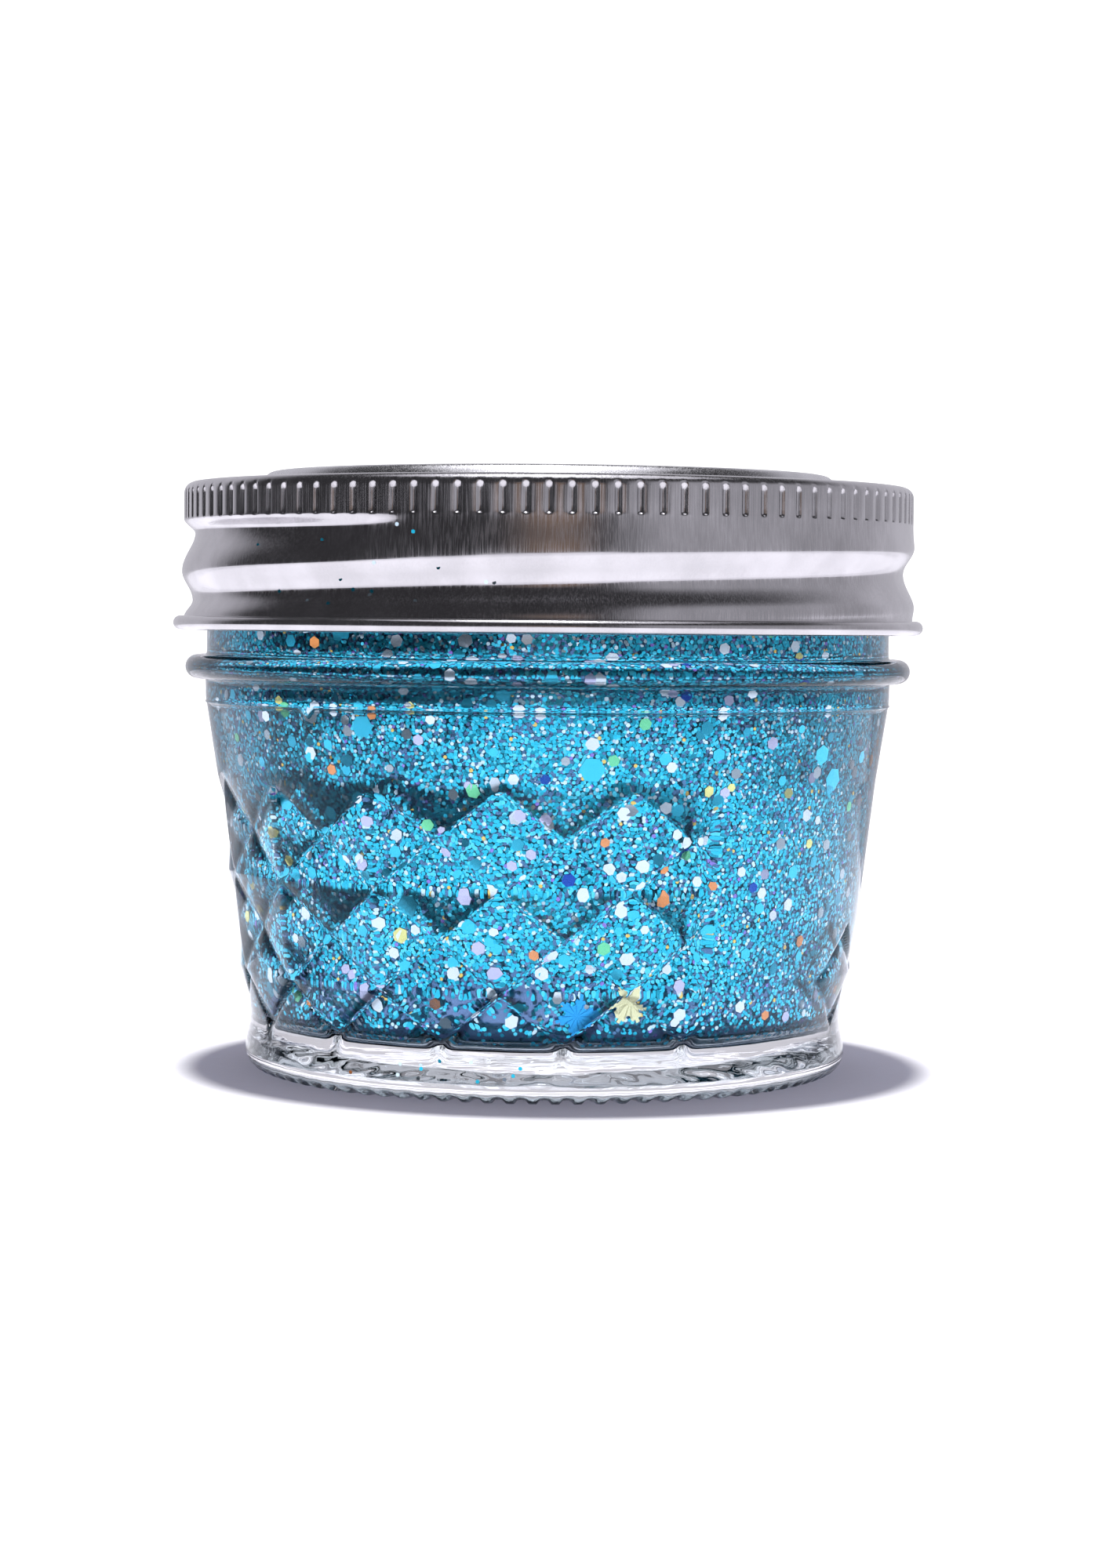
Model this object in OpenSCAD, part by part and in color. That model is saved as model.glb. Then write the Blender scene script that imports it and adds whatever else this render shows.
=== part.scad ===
// Quilted glass jelly jar with a two-piece screw lid, filled with glitter gel.
// Millimetres. The jar stands on z = 0, its axis is Z, and its front faces -Y.
// Angles are in degrees, counted anticlockwise from +X as seen from above.

/* [Glass] */
// Height of the glass up to its sealing rim
jar_h = 55.6; // [55.4:0.1:56]
// Radius of the wall just above the base
base_r = 29.6; // [29.4:0.1:29.8]
// Radius of the wall at the shoulder, under the bead
shoulder_r = 33.6; // [33.4:0.1:33.8]
// Outer radius of the transfer bead under the band
bead_r = 35.6; // [35.2:0.1:35.8]
// Height of the middle of the transfer bead
bead_z = 39.4; // [39:0.1:39.8]
// Radius of the mouth
mouth_r = 30; // [29.6:0.1:30.2]
// Thickness of the glass under the filling
floor_t = 4.4; // [4:0.1:5]

/* [Quilt] */
// Number of diamonds around the wall
quilt_columns = 16; // [14:1:18]
// How far a diamond's middle stands over the lines between the diamonds
quilt_depth = 0.55; // [0.4:0.05:0.7]
// Angle of the front line of diamond tips
quilt_turn = -86.6; // [-90:0.1:-80]
// Angle of the middle of the plain panel
panel_turn = -30; // [-40:1:-20]

/* [Thread] */
// Rise of the thread for one turn
pitch = 6.35; // [6.2:0.05:6.5]
// Radius of the thread's crest on the glass
thread_r = 34.65; // [34.5:0.05:34.7]

/* [Lid] */
// Outer radius of the band
band_r = 35.75; // [35.7:0.05:35.8]
// Number of flutes around the band's top edge
flutes = 110; // [80:2:120]
// Height of the band's top edge
crest_z = 57.3; // [57.2:0.05:57.4]
// Height of the raised panel of the disc
panel_z = 58.4; // [58:0.1:58.8]

/* [Filling] */
// Height of the top of the gel
fill_z = 49.5; // [46:0.5:50]
// Seed of the flakes' places
flake_seed = 7; // [1:1:99]

/* [Hidden] */
$fn = 96;

// Glass
heel_r = 2;
push_up = 1.2;
foot_w = 2;
quilt_z0 = 5.6;
quilt_rows = 5;
quilt_h = 4.65;
quilt_z1 = quilt_z0 + quilt_rows * quilt_h;
quilt_r1 = 32.4;
bead_t = 1.15;
neck_r = 33.2;
lip_r = 32.9;
lip_h = 1;
lip_round = 0.6;
cavity_base_r = 26.6;
cavity_corner = 2.2;
shoulder_z = 36.5;

// Thread: the groove rolled into the band runs just under the ridge on the glass
groove_z = 52.54;
groove_full = -160;
groove_start = -107;
groove_end = -560;
ridge_over_groove = 1.5;
ridge_start = -200;
ridge_end = -600;
thread_step = 5;
thread_fade = 30;

// Lid
sheet = 0.3;
groove_r = 34.6;
flange_r = 29.9;
flange_drop = 0.25;
band_corner = 1;
curl_t = 0.68;
curl_r = 36.8;
curl_z = 43.65;
flute_z0 = 53.7;
flute_z1 = 56.4;
flute_r = 0.45;
flute_depth = 0.18;
disc_r = 34.1;
disc_sheet = 0.25;
fit_gap = 0.05;
ring_r0 = 29.8;
ring_r1 = 33.4;
rim_z = crest_z - flange_drop - sheet - fit_gap;

// Filling
gel_gap = 0.02;

// Radius of the wall's envelope at height z, through the tops of the diamonds
function wall_r(z) =
    z < quilt_z0 ? base_r
    : z < quilt_z1 ? base_r + (quilt_r1 - base_r) * (z - quilt_z0) / (quilt_z1 - quilt_z0)
    : quilt_r1 + (shoulder_r - quilt_r1) * (z - quilt_z1) / (shoulder_z - quilt_z1);

// Radius of the cavity's wall at height z
function cavity_r(z) =
    min(mouth_r, cavity_base_r + (mouth_r - cavity_base_r) * (z - floor_t) / (shoulder_z - floor_t));

// Point at angle a, height z and distance r from the axis
function polar(r, a, z) = [r * cos(a), r * sin(a), z];

// Points of an arc, from angle a0 to angle a1
function arc(x, y, r, a0, a1, steps = 8) =
    [for (i = [0:steps]) let (a = a0 + (a1 - a0) * i / steps) [x + r * cos(a), y + r * sin(a)]];

// 1 along the thread, falling to almost 0 over its two ends
function fade(a, a0, a1) = max(0.02, min(1, (a - a0) / thread_fade, (a1 - a) / thread_fade));

// Height of the middle of the band's groove at angle a: a right-hand helix with a level start
function groove_height(a) = groove_z + pitch * min(0, a - groove_full) / 360;

// Height of the middle of the ridge on the glass at angle a
function ridge_height(a) = groove_z + ridge_over_groove + pitch * (a - groove_full) / 360;

// Closed sweep of a ring of points, given for each station, all with the same count
module sweep(rings) {
    n = len(rings[0]);
    last = len(rings) - 1;
    sides = [for (i = [0:last - 1], j = [0:n - 1])
        let (k = (j + 1) % n, p = i * n + j, q = i * n + k)
        each [[p, q, q + n], [p, q + n, p + n]]];
    start_cap = [for (j = [n - 1:-1:0]) j];
    end_cap = [for (j = [0:n - 1]) last * n + j];
    polyhedron(points = [for (ring = rings) each ring], faces = concat([start_cap, end_cap], sides));
}

// Ridge that stands out of the neck, from radius r0 to radius r1
module outer_ridge(r0, r1, w0, w1) {
    sweep([for (a = [ridge_end:thread_step:ridge_start])
        let (z = ridge_height(a), r = r0 + (r1 - r0) * fade(a, ridge_end, ridge_start))
        [polar(r0, a, z - w0), polar(r, a, z - w1), polar(r, a, z + w1), polar(r0, a, z + w0)]]);
}

// Bar along the band's groove, from radius r0 in to radius r1. Each side has its reach over and under the
// middle, and the bar stops at height low, clear of the band's rolled edge
module inner_bar(r0, r1, over0, under0, over1, under1, low) {
    sweep([for (a = [groove_end:thread_step:groove_start])
        let (z = groove_height(a), r = r0 + (r1 - r0) * fade(a, groove_end, groove_start),
             low0 = max(low, z - under0))
        [polar(r0, a, z + over0), polar(r, a, z + over1), polar(r, a, z - under1), polar(r0, a, low0)]]);
}

// Outline of the filling's space, shrunk by gap and cut off at height top
module cavity_outline(gap, top) {
    r_low = cavity_r(floor_t + cavity_corner) - gap;
    polygon(concat(
        [[0, floor_t + gap]],
        arc(r_low - cavity_corner, floor_t + cavity_corner + gap, cavity_corner, -90, 0),
        [[mouth_r - gap, shoulder_z], [mouth_r - gap, top], [0, top]]
    ));
}

// Right half of the glass's section, without the cavity
module glass_outline() {
    foot_r = base_r - heel_r;
    polygon(concat(
        [[0, push_up], [foot_r - foot_w - 1.5, push_up * 0.8], [foot_r - foot_w, 0]],
        arc(foot_r, heel_r, heel_r, -90, 0),
        [[base_r, quilt_z0 - 0.4], [wall_r(quilt_z0) - quilt_depth, quilt_z0 + 0.1]],
        [[quilt_r1 - quilt_depth, quilt_z1], [quilt_r1, quilt_z1 + 0.6], [shoulder_r, shoulder_z]],
        [[shoulder_r, bead_z - bead_t - 0.4], [neck_r, bead_z], [neck_r, jar_h - lip_h]],
        [[lip_r, jar_h - lip_h]],
        arc(lip_r - lip_round, jar_h - lip_round, lip_round, 0, 90),
        [[0, jar_h]]
    ));
    translate([bead_r - bead_t, bead_z]) circle(bead_t);
    translate([neck_r - 1, bead_z - bead_t]) square([bead_r - bead_t - neck_r + 1, 2 * bead_t]);
}

// One diamond of the quilt: a low pyramid on the wall, with its lower tip at angle a and height z
module diamond(a, z) {
    half = 0.97 * 180 / quilt_columns;
    mid_z = z + quilt_h;
    rise = 0.97 * quilt_h;
    edge = quilt_depth + 0.1;
    back_edge = edge + 1;
    tips = [[a, mid_z - rise], [a + half, mid_z], [a, mid_z + rise], [a - half, mid_z]];
    skin = [for (t = tips) polar(wall_r(t[1]) - edge, t[0], t[1])];
    back = [for (t = tips) polar(wall_r(t[1]) - back_edge, t[0], t[1])];
    polyhedron(
        points = concat(skin, back, [polar(wall_r(mid_z) + 0.1, a, mid_z)]),
        faces = [[8, 1, 0], [8, 2, 1], [8, 3, 2], [8, 0, 3], [4, 0, 1], [4, 1, 5], [5, 1, 2], [5, 2, 6],
                 [6, 2, 3], [6, 3, 7], [7, 3, 0], [7, 0, 4], [4, 5, 6], [4, 6, 7]]
    );
}

// Angle from the middle of the plain panel, from 0 to 180
function from_panel(a) = let (d = abs(a - panel_turn) % 360) min(d, 360 - d);

// True where the wall stays plain: the upper rows across the panel
function plain(a, row) = from_panel(a) < 38 && row > 0;

// Diamonds over the whole wall, except in the plain panel. Each odd row is half a diamond round
module quilt() {
    spread = 360 / quilt_columns;
    for (row = [0:quilt_rows - 2], column = [0:quilt_columns - 1]) {
        a = quilt_turn + spread * (column + (row % 2) / 2);
        if (!plain(a, row)) {
            diamond(a, quilt_z0 + row * quilt_h);
        }
    }
}

module glass_jar() {
    color([0.75, 0.86, 0.9, 0.4]) difference() {
        union() {
            rotate_extrude() glass_outline();
            outer_ridge(neck_r - 0.3, thread_r, 1.45, 0.5);
            quilt();
        }
        rotate_extrude() cavity_outline(0, jar_h + 1);
    }
}

module glitter_gel() {
    color([0.25, 0.36, 0.5, 0.8]) rotate_extrude() cavity_outline(gel_gap, fill_z);
}

// Hexagonal flake across its corners 2 * r, laid along the wall at angle a and height z, then tilted
module hex_flake(r, t, a, z, depth, tilt) {
    translate(polar(cavity_r(z) - depth, a, z)) rotate([0, 0, a]) rotate([tilt[0], 90 + tilt[1], 0])
        cylinder(r = r, h = t, center = true, $fn = 6);
}

// Flakes in rows and columns, each moved off its place at random
module flake_layer(rows, columns, r, t, depth, lean, seed) {
    step_a = 360 / columns;
    step_z = (fill_z - 9 - floor_t) / rows;
    shift = rands(-0.25, 0.25, 4 * rows * columns, flake_seed + seed);
    for (i = [0:rows - 1], j = [0:columns - 1]) {
        k = 4 * (i * columns + j);
        hex_flake(r, t, (j + (i % 2) / 2 + shift[k]) * step_a, floor_t + 5 + (i + 0.5 + shift[k + 1]) * step_z,
                  depth, [4 * lean * shift[k + 2], 4 * lean * shift[k + 3]]);
    }
}

// Six-armed flake: three crossed bars, each with a barb near either end
module star_flake(r, t, a, z, depth, turn) {
    bar = 0.26 * r;
    translate(polar(cavity_r(z) - depth, a, z)) rotate([0, 0, a]) rotate([0, 90, 0]) rotate(turn)
        linear_extrude(t, center = true) {
            for (k = [0:2]) rotate(60 * k) square([2 * r, bar], center = true);
            for (k = [0:5]) rotate(60 * k) translate([0.62 * r, 0]) rotate(90)
                square([0.62 * r, bar], center = true);
        }
}

module fine_glitter() {
    color([0.1, 0.75, 0.85]) flake_layer(6, 24, 0.22, 0.05, 0.4, 20, 1);
}

module medium_flakes() {
    color([0.8, 0.92, 0.95]) flake_layer(5, 14, 0.55, 0.06, 0.95, 20, 2);
}

module large_flakes() {
    color([0.25, 0.8, 0.95]) flake_layer(3, 4, 1.1, 0.08, 1.75, 15, 3);
}

// Places of the star flakes: angle and height of each
star_places = [[-74, 10], [-88, 9], [30, 22], [105, 12], [160, 30]];

module star_flakes() {
    color([0.95, 0.85, 0.5]) for (i = [0:len(star_places) - 1])
        star_flake(1.9, 0.06, star_places[i][0], star_places[i][1], 2.5, 17 * i);
}

// Half section of the disc: rim, riser, raised ring, sunk panel and centre button
module disc_outline() {
    low = rim_z - disc_sheet;
    top = [[disc_r, rim_z], [28.7, rim_z], [27.8, panel_z - 0.35], [27.3, panel_z], [24.5, panel_z],
           [23.9, panel_z - 0.4], [13.2, panel_z - 0.4], [12.6, panel_z - 0.15], [0, panel_z - 0.05]];
    under = [[0, panel_z - 0.3], [12.7, panel_z - 0.4], [13.3, panel_z - 0.65], [24.1, panel_z - 0.65],
             [24.7, panel_z - 0.25], [27.1, panel_z - 0.25], [27.5, panel_z - 0.5], [28.45, low], [disc_r, low]];
    polygon(concat(top, under));
}

module lid_disc() {
    color([0.8, 0.8, 0.82]) rotate_extrude() disc_outline();
}

module sealing_ring() {
    low = jar_h + fit_gap;
    color([0.35, 0.2, 0.16]) rotate_extrude()
        translate([ring_r0, low]) square([ring_r1 - ring_r0, rim_z - disc_sheet - low]);
}

// Half section of the band: flange, rounded corner, skirt and the open roll of its lower edge
module band_outline() {
    inner_corner = band_corner - sheet;
    corner_x = band_r - band_corner;
    corner_z = crest_z - band_corner;
    lip_z = crest_z - flange_drop;
    polygon(concat(
        [[flange_r, lip_z - sheet], [flange_r, lip_z]],
        arc(corner_x, corner_z, band_corner, 90, 0),
        [[band_r, curl_z], [band_r - sheet, curl_z]],
        arc(corner_x, corner_z, inner_corner, 0, 90)
    ));
    translate([curl_r - curl_t, curl_z]) difference() {
        circle(curl_t);
        circle(curl_t - sheet * 0.9);
        polygon([[0, 0], [-0.1, 1.5], [-0.9, 1.5], [-0.33, 0.2]]);
    }
}

module screw_band() {
    flute_x = band_r + flute_r - flute_depth;
    color([0.55, 0.55, 0.57]) difference() {
        union() {
            rotate_extrude() band_outline();
            inner_bar(band_r - sheet / 2, groove_r - sheet + 0.02, 1.6, 2.8, 0.35, 0.55, curl_z + 0.4);
        }
        inner_bar(band_r + 0.55, groove_r, 1.78, 3.38, 0.15, 0.35, curl_z + curl_t + 0.1);
        for (i = [0:flutes - 1]) {
            translate(concat(polar(flute_x, (i + 0.5) * 360 / flutes, 0)))
                translate([0, 0, flute_z0]) cylinder(r = flute_r, h = flute_z1 - flute_z0, $fn = 16);
        }
    }
}

glass_jar();
glitter_gel();
fine_glitter();
medium_flakes();
large_flakes();
star_flakes();
lid_disc();
sealing_ring();
screw_band();
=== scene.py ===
# %% [markdown]
# A small quilted preserving jar, filled with glitter gel and closed by a two-piece screw lid.
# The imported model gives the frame: where the glass, the gel, the disc and the band are, and what turns on
# what. This script only dresses it. Every visible piece is worked out again as a fine surface, because the
# looks of glass and of pressed tinplate come from curvature that a design model leaves plain.

# %% Load the frame
import bpy
import numpy as np
from mathutils import Matrix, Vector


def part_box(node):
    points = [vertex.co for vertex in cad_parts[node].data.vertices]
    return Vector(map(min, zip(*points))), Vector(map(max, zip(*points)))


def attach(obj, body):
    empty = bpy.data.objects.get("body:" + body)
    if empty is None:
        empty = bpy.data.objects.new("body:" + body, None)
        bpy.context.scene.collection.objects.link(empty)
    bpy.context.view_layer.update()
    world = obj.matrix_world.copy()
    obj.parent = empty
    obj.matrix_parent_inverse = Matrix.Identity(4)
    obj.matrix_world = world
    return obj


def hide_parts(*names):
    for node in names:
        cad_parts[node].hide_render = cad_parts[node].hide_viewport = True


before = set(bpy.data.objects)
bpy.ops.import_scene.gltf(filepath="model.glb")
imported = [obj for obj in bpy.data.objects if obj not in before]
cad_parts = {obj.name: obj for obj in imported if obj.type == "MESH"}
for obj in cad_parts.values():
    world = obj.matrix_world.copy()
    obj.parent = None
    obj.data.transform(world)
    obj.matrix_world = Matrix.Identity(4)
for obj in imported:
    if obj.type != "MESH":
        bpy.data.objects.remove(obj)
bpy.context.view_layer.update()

MM = 0.001
glass_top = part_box("glass_jar")[1].z / MM
curl_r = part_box("screw_band")[1].x / MM

# %% [markdown]
# The jar is a body of revolution with patterns on it, so nearly every piece is one grid: rows run along the
# half section and columns run round the axis. Blender's Screw modifier could turn a section, but it can't
# press a quilt or a thread into it. A grid of radii and heights can, and it is closed by joining the last
# column to the first, and either the last row to the first or both end rows to a point on the axis.

# %% Grids into meshes
def put_mesh(name, corners, faces, smooth=True):
    """Makes an object from corners in millimetres and face arrays, each (count, corners a face)."""
    mesh = bpy.data.meshes.new(name)
    mesh.vertices.add(len(corners))
    mesh.vertices.foreach_set("co", (np.asarray(corners, float) * MM).ravel())
    sizes = np.concatenate([np.full(len(f), f.shape[1]) for f in faces])
    mesh.loops.add(int(sizes.sum()))
    mesh.loops.foreach_set("vertex_index", np.concatenate([f.ravel() for f in faces]).astype(np.int32))
    mesh.polygons.add(len(sizes))
    starts = np.concatenate([[0], np.cumsum(sizes)[:-1]])
    mesh.polygons.foreach_set("loop_start", starts.astype(np.int32))
    mesh.update(calc_edges=True)
    mesh.polygons.foreach_set("use_smooth", np.full(len(sizes), smooth))
    mesh.validate()
    piece = bpy.data.objects.new(name, mesh)
    bpy.context.scene.collection.objects.link(piece)
    return piece


def ring_grid(name, radius, height, angle, poles=None):
    """Rows of radii and heights round the axis at the angles, in degrees: x = r cos a, y = r sin a.
    Rows run anticlockwise round the section, so faces point outwards. Without poles the last row joins
    the first; with them, each end row closes on a point of the axis at that height."""
    turn = np.radians(angle)
    grid = np.stack([radius * np.cos(turn), radius * np.sin(turn), height], axis=-1)
    rows, columns = radius.shape
    place = np.arange(rows * columns).reshape(rows, columns)
    beside = np.roll(place, -1, axis=1)
    above = np.roll(place, -1, axis=0)
    quads = np.stack([place, beside, np.roll(beside, -1, axis=0), above], axis=-1)
    corners = grid.reshape(-1, 3)
    if poles is None:
        return put_mesh(name, corners, [quads.reshape(-1, 4)])
    low, high = len(corners), len(corners) + 1
    corners = np.vstack([corners, [[0, 0, poles[0]], [0, 0, poles[1]]]])
    low_fan = np.stack([np.full(columns, low), beside[0], place[0]], axis=-1)
    high_fan = np.stack([place[-1], beside[-1], np.full(columns, high)], axis=-1)
    return put_mesh(name, corners, [quads[:-1].reshape(-1, 4), low_fan, high_fan])


def smooth_step(x, low, high):
    """0 under low, 1 over high, and the S curve 3 t^2 - 2 t^3 between them."""
    t = np.clip((x - low) / (high - low), 0, 1)
    return t * t * (3 - 2 * t)


def arc(x, z, r, start, end, steps):
    """Points (radius, height) on a circle of radius r round (x, z), from angle start to end."""
    turn = np.radians(np.linspace(start, end, steps))
    return np.stack([x + r * np.cos(turn), z + r * np.sin(turn)], axis=-1)


print("grid helpers ready")

# %% [markdown]
# Finishes are built from shader nodes. Writing node after node hides the idea of a pattern, so one small
# class wraps a socket and lets it be used in a sum: rough + 0.1 * streaks adds the Math nodes by itself.
# A second class stands for the material and has one method that makes any other node.

# %% Node expressions
class Wire:
    """The output of a node, usable in arithmetic."""

    def __init__(self, finish, socket):
        self.finish, self.socket = finish, socket

    def maths(self, operation, first, second):
        return self.finish.add("ShaderNodeMath", {"operation": operation}, {0: first, 1: second})

    def __add__(self, other): return self.maths("ADD", self, other)
    def __radd__(self, other): return self.maths("ADD", other, self)
    def __sub__(self, other): return self.maths("SUBTRACT", self, other)
    def __rsub__(self, other): return self.maths("SUBTRACT", other, self)
    def __mul__(self, other): return self.maths("MULTIPLY", self, other)
    def __rmul__(self, other): return self.maths("MULTIPLY", other, self)

    def larger(self, other):
        return self.maths("MAXIMUM", self, other)

    def step(self, low, high):
        """0 where the value is under low, 1 where it is over high, smooth between."""
        return self.finish.add("ShaderNodeMapRange", {"interpolation_type": "SMOOTHSTEP"},
                               {"Value": self, "From Min": low, "From Max": high})


class Finish:
    """A node tree being filled: a material's, or the world's."""

    def __init__(self, name, tree=None):
        if tree is None:
            self.material = bpy.data.materials.new(name)
            self.material.use_nodes = True
            tree = self.material.node_tree
        self.tree = tree
        tree.nodes.clear()

    def add(self, kind, settings=None, inputs=None, output=0):
        """Adds a node, sets what it is, then feeds its sockets with numbers, colours or wires."""
        node = self.tree.nodes.new(kind)
        for key, value in (settings or {}).items():
            setattr(node, key, value)
        for key, value in (inputs or {}).items():
            socket = node.inputs[key]
            if isinstance(value, Wire):
                self.tree.links.new(value.socket, socket)
            elif isinstance(value, tuple) and len(value) == 3 and socket.type == "RGBA":
                socket.default_value = (*value, 1)
            else:
                socket.default_value = value
        return Wire(self, node.outputs[output]) if node.outputs else node

    def mix(self, factor, first, second):
        """A colour between first and second."""
        return self.add("ShaderNodeMix", {"data_type": "RGBA"}, {0: factor, 6: first, 7: second}, output=2)

    def place(self, scale=(1, 1, 1)):
        """The point on the piece in metres, stretched by scale."""
        here = self.add("ShaderNodeTexCoord", output=3)
        return self.add("ShaderNodeMapping", None, {"Vector": here, "Scale": scale})

    def noise(self, scale, detail=3.0, stretch=(1, 1, 1)):
        return self.add("ShaderNodeTexNoise", None,
                        {"Vector": self.place(stretch), "Scale": scale, "Detail": detail})

    def bump(self, height, strength, distance):
        return self.add("ShaderNodeBump", None,
                        {"Height": height, "Strength": strength, "Distance": distance})

    def body(self, **sockets):
        """The main shader. A name such as Base_Color stands for the socket Base Color."""
        return self.add("ShaderNodeBsdfPrincipled", None,
                        {name.replace("_", " "): value for name, value in sockets.items()})

    def done(self, shader):
        self.add("ShaderNodeOutputMaterial", None, {"Surface": shader})
        return self.material


print("node helpers ready")

# %% [markdown]
# The band is one strip of thin tinplate, drawn into a ring, with a rolled lower edge, a fluted grip round
# its top and a thread groove rolled in from outside. The groove is a right-hand helix, one pitch a turn,
# that starts level under the grip. Two cosine flanks make its valley: a short one above and a long one
# below, so the metal between two turns is a soft bulge.

# %% Band measures
PITCH = 6.35
BAND_R = 35.75
GROOVE_Z, GROOVE_FULL, GROOVE_START, GROOVE_END = 52.54, -160, -107, -560
CREST_Z = 57.3
CURL_T, CURL_Z = 0.68, 43.65
SHEET = 0.3
GRIP_LOW, GRIP_FADE, GRIP_TOP, FLUTES = 53.7, 56.1, 56.75, 110
GROOVE_DEPTH, FLUTE_DEPTH = 1.15, 0.27
FLANK_UP, FLANK_DOWN, WALL_FOOT = 2.7, 3.6, 44.2


def groove_depth(a, z):
    """Depth of the groove at angle a and height z: GROOVE_DEPTH (1 + cos(pi t)) / 2, where t is the distance
    from the valley over the reach of its flank, for each turn of the helix that passes this angle."""
    depth = np.zeros(np.broadcast(a, z).shape)
    for turn in (0, -1, -2):
        along = a + 360 * turn
        middle = GROOVE_Z + PITCH * np.minimum(0, along - GROOVE_FULL) / 360
        fade = smooth_step(np.minimum(along - GROOVE_END, GROOVE_START - along), 0, 30)
        reach = np.where(z > middle, np.minimum(FLANK_UP, GRIP_LOW - middle),
                         np.minimum(FLANK_DOWN, middle - WALL_FOOT))
        t = np.clip(np.abs(z - middle) / reach, 0, 1)
        depth = np.maximum(depth, GROOVE_DEPTH * fade * (1 + np.cos(np.pi * t)) / 2)
    return depth


def grip_depth(a, z):
    """Depth of the flutes: narrow rounded slots, full between the grip's ends and closed quickly there."""
    across = np.abs((a * FLUTES / 360) % 1 - 0.5)
    slot = 1 - smooth_step(across, 0.08, 0.18)
    ends = smooth_step(z, GRIP_LOW - 0.08, GRIP_LOW + 0.22) * (1 - smooth_step(z, GRIP_FADE, GRIP_TOP))
    return FLUTE_DEPTH * slot * ends


def band_radius(a, z):
    """Outside radius of the band: the wall, a slight belly below the grip, less the groove and flutes."""
    belly = 0.2 * smooth_step(z, 44.3, 46) * (1 - smooth_step(z, 50.2, 53.6))
    return BAND_R + belly - groove_depth(a, z) - grip_depth(a, z)


print("groove turns", round((GROOVE_START - GROOVE_END) / 360, 2), "flutes", FLUTES)

# %% [markdown]
# A grid can't be fine everywhere. Its columns crowd at the edges of each flute, where the metal bends
# quickest, and its rows crowd at the foot of the grip. The inside wall is the outside moved in by the
# thickness of the sheet, as it is on a band rolled from one strip.

# %% Band surface
slot_steps = np.array([0, 0.29, 0.345, 0.41, 0.5, 0.59, 0.655, 0.71])
band_a = ((np.arange(FLUTES)[:, None] + slot_steps) * 360 / FLUTES).ravel() - 180
curl = arc(curl_r - CURL_T, CURL_Z, CURL_T, -150, 121, 15)
wall_z = np.concatenate([np.linspace(44.35, 53.35, 44), [53.5, 53.6, 53.68, 53.76, 53.85, 54.0],
                         np.linspace(54.4, 55.6, 4), [55.95, 56.2]])
corner = arc(BAND_R - 1, CREST_Z - 1, 1, 4, 90, 7)
flange = np.array([[33.2, 57.26], [31.5, 57.14], [30.1, 57.05], [29.92, 56.98], [29.9, 56.88],
                   [29.95, 56.77], [31.5, 56.84], [34.6, 57.0]])
under = arc(BAND_R - 1, CREST_Z - 1, 1 - SHEET, 80, 5, 4)
inner_z = np.linspace(56.0, 43.6, 22)

wall_r = band_radius(band_a[None, :], wall_z[:, None])
inner_r = band_radius(band_a[None, :], inner_z[:, None]) - SHEET


def fixed(points, columns):
    """Radii and heights of section points, the same at every column."""
    return np.repeat(points[:, :1], columns, axis=1), np.repeat(points[:, 1:], columns, axis=1)


def level(heights, columns):
    return np.repeat(heights[:, None], columns, axis=1)


count = len(band_a)
corner_r, corner_z = fixed(corner, count)
corner_r = corner_r - grip_depth(band_a[None, :], corner_z)
parts = [fixed(curl, count), (wall_r, level(wall_z, count)), (corner_r, corner_z), fixed(flange, count),
         fixed(under, count), (inner_r, level(inner_z, count))]
band_r, band_z = (np.vstack([part[k] for part in parts]) for k in range(2))
band = ring_grid("screw_band_rolled", band_r, band_z, band_a)
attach(band, "band")
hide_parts("screw_band")
print("band", len(band.data.polygons), "faces")

# %% [markdown]
# Tinplate is bright but not a mirror: it was brushed along the strip before it was drawn, so it scatters
# light in fine vertical lines. Noise squeezed round the ring and stretched along the axis gives the lines.
# They shift the roughness and lift a very shallow bump; larger noise adds the cloudy patches of handling.

# %% Tinplate finishes
def tinplate(name, colour, rough, stretch, depth):
    """Satin tin: brushed lines along one direction, cloudy patches over them."""
    finish = Finish(name)
    lines = finish.noise(9000, 2.0, stretch)
    clouds = finish.noise(220, 4.0)
    shade = (clouds.step(0.35, 0.7) * 0.6 + lines.step(0.3, 0.7) * 0.4)
    tint = finish.mix(shade, tuple(0.78 * c for c in colour), colour)
    gloss = rough + 0.12 * lines.step(0.35, 0.65) + 0.07 * clouds
    return finish.done(finish.body(Base_Color=tint, Metallic=1.0, Roughness=gloss,
                                   Normal=finish.bump(lines, 0.4, depth)))


band.data.materials.append(tinplate("band_satin_tin", (0.66, 0.65, 0.67), 0.09, (1, 1, 0.02), 0.000011))
print("tinplate on the band")

# %% [markdown]
# The disc lies on the rim of the glass, under the band. Its rim is flat, a riser lifts a panel above the
# band's opening, and the middle holds the button that clicks down when the jar seals. It is a plain turned
# section with rounded bends, so a list of section points is enough, each bend drawn as a short arc.

# %% Disc and its sealing ring
PANEL_Z, DISC_SHEET = 58.4, 0.25
RIM_Z = CREST_Z - 0.25 - SHEET - 0.05


def bent(points, radius, steps=5):
    """A path with its corners rounded: each corner becomes a curve (1-t)^2 a + 2t(1-t) b + t^2 c, where a
    and c lie a given distance from the corner b."""
    points = np.array(points, float)
    t = np.linspace(0, 1, steps)[:, None]
    out = [points[:1]]
    for before, here, after in zip(points[:-2], points[1:-1], points[2:]):
        to_a, to_c = before - here, after - here
        a = here + to_a * min(0.45, radius / np.linalg.norm(to_a))
        c = here + to_c * min(0.45, radius / np.linalg.norm(to_c))
        out.append((1 - t) ** 2 * a + 2 * t * (1 - t) * here + t ** 2 * c)
    return np.vstack(out + [points[-1:]])


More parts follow.
